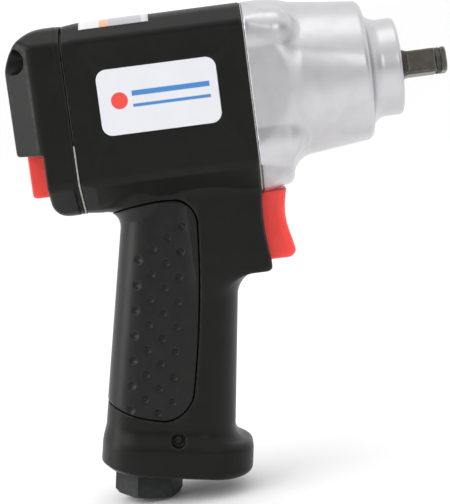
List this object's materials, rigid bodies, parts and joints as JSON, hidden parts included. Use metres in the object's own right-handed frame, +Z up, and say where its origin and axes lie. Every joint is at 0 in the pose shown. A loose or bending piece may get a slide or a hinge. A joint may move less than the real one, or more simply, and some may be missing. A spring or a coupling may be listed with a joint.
{
  "type": "impact wrench",
  "caption": "Pistol-grip pneumatic impact wrench: composite motor housing with rubber grip, cast aluminium hammer case, square drive, sliding trigger, reverse lever and hex air inlet.",
  "frame": {"origin": "centre of the square drive's tip, on the drive axis", "axes": "+X along the drive axis towards the socket, +Z up with the handle hanging down, +Y to the tool's left"},
  "size_m": [0.1707, 0.059, 0.1926],
  "materials": {
    "housing_plastic": "fine moulded texture, low sheen",
    "case_aluminium": "satin cast",
    "grip_rubber": "soft matt with small dimples",
    "gasket_sheet": "matt",
    "screw_steel": "black oxide",
    "label_white": "printed film",
    "label_silver": "printed film",
    "motor_steel": "ground",
    "bearing_steel": "polished",
    "bronze": "sintered",
    "seal_rubber": "matt",
    "spring_steel": "drawn wire",
    "inlet_steel": "black phosphate",
    "felt": "felted",
    "red_plastic": "satin moulded",
    "hammer_steel": "heat treated",
    "drive_steel": "heat treated, worn",
    "vane_resin": "machined"
  },
  "bodies": {
    "housing": {"motor_housing": "housing_plastic", "hammer_case": "case_aluminium", "rear_cover": "housing_plastic", "case_gasket": "gasket_sheet", "rear_gasket": "gasket_sheet", "soft_grip": "grip_rubber", "housing_screws": "screw_steel", "screw_washers": "screw_steel", "side_labels": "label_white", "top_label": "label_silver", "cylinder": "motor_steel", "front_end_plate": "motor_steel", "rear_end_plate": "motor_steel", "dowel_pin": "bearing_steel", "front_outer_race": "bearing_steel", "rear_outer_race": "bearing_steel", "anvil_bushing": "bronze", "anvil_seal": "seal_rubber", "reverse_bushing": "bronze", "detent_ball": "bearing_steel", "detent_spring": "spring_steel", "trigger_bushing": "bronze", "trigger_o_ring": "seal_rubber", "valve_seat": "bronze", "throttle_spring": "spring_steel", "inlet_bushing": "inlet_steel", "inlet_screen": "spring_steel", "inlet_o_ring": "seal_rubber", "exhaust_deflector": "housing_plastic", "muffler_felt": "felt", "base_pin": "screw_steel"},
    "hammer": {"hammer_cage": "hammer_steel", "hammer_pins": "bearing_steel", "rotor": "motor_steel", "rotor_vanes": "vane_resin", "front_inner_race": "bearing_steel", "rear_inner_race": "bearing_steel"},
    "dog_front": {"hammer_dog_front": "hammer_steel"},
    "dog_rear": {"hammer_dog_rear": "hammer_steel"},
    "anvil": {"anvil": "drive_steel", "friction_ring": "drive_steel", "ring_o_ring": "seal_rubber"},
    "balls": {"bearing_balls": "bearing_steel"},
    "trigger": {"trigger": "red_plastic", "trigger_rod": "bearing_steel"},
    "throttle": {"throttle_valve": "bearing_steel"},
    "reverse": {"reverse_lever": "red_plastic", "reverse_valve": "motor_steel", "lever_screw": "screw_steel"}
  },
  "joints": [
    {"name": "hammer_spin", "type": "hinge", "parent": "housing", "child": "hammer", "pos_m": [-0.1, 0, 0], "axis": [1, 0, 0], "continuous": true},
    {"name": "anvil_spin", "type": "hinge", "parent": "housing", "child": "anvil", "pos_m": [-0.03, 0, 0], "axis": [1, 0, 0], "continuous": true},
    {"name": "balls_roll", "type": "hinge", "parent": "housing", "child": "balls", "pos_m": [-0.1, 0, 0], "axis": [1, 0, 0], "continuous": true},
    {"name": "dog_front_swing", "type": "hinge", "parent": "hammer", "child": "dog_front", "pos_m": [-0.06, 0, 0.0188], "axis": [1, 0, 0], "range_deg": [-3.5, 3.5]},
    {"name": "dog_rear_swing", "type": "hinge", "parent": "hammer", "child": "dog_rear", "pos_m": [-0.06, 0, -0.0188], "axis": [1, 0, 0], "range_deg": [-3.5, 3.5]},
    {"name": "trigger_slide", "type": "slide", "parent": "housing", "child": "trigger", "axis": [-1, 0, 0], "range_m": [0, 0.0065], "stiffness_N_per_m": 600, "springref_m": -0.01},
    {"name": "throttle_tilt", "type": "hinge", "parent": "housing", "child": "throttle", "pos_m": [-0.11965, 0, -0.09051], "axis": [0, -1, 0], "range_deg": [0, 10.5], "deforming": ["throttle_spring"]},
    {"name": "reverse_turn", "type": "hinge", "parent": "housing", "child": "reverse", "pos_m": [-0.165, 0, 0], "axis": [1, 0, 0], "range_deg": [-30, 30]}
  ],
  "couplings": [
    {"joint": "anvil_spin", "follows": "hammer_spin", "ratio": 1},
    {"joint": "balls_roll", "follows": "hammer_spin", "ratio": 0.4138},
    {"joint": "throttle_tilt", "follows": "trigger_slide", "rad_per_m": 26.515}
  ]
}
